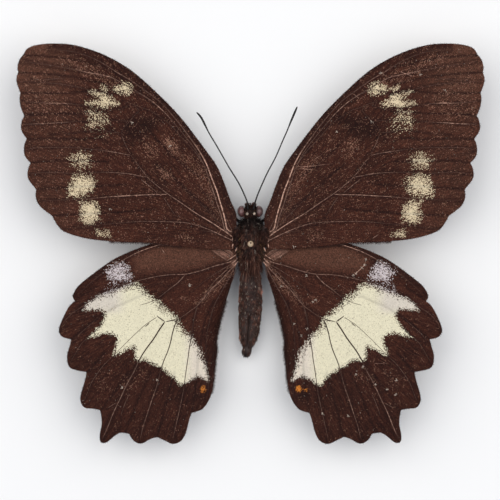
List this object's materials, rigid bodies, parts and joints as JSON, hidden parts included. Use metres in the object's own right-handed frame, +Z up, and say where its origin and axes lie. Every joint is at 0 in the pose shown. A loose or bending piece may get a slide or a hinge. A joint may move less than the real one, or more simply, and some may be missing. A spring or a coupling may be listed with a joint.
{
  "type": "pinned butterfly specimen",
  "caption": "Spread dried swallowtail butterfly on an insect pin, dark brown with cream wing patches, resting on its folded legs.",
  "frame": {"origin": "the foot of the pin, on the pin's axis, level with the surface that the specimen rests on", "axes": "+Z up along the pin, the wings' upper side; +Y towards the head; +X to the right as seen from above, along the wing span"},
  "size_m": [0.1098, 0.0941, 0.017],
  "materials": {
    "wing": "matte",
    "body_fur": "matte",
    "eye": "satin",
    "palp": "matte",
    "horn": "satin",
    "pin_steel": "polished",
    "pin_head": "satin"
  },
  "bodies": {
    "root": {"forewing_right": "wing", "forewing_left": "wing", "hindwing_right": "wing", "hindwing_left": "wing", "head": "body_fur", "thorax": "body_fur", "abdomen": "body_fur", "tegula_right": "body_fur", "tegula_left": "body_fur", "eye_right": "eye", "eye_left": "eye", "palp_right": "palp", "palp_left": "palp", "antenna_right": "horn", "antenna_left": "horn", "proboscis": "horn", "leg_front_right": "horn", "leg_front_left": "horn", "leg_middle_right": "horn", "leg_middle_left": "horn", "leg_hind_right": "horn", "leg_hind_left": "horn", "pin_shaft": "pin_steel", "pin_head": "pin_head"}
  },
  "joints": []
}
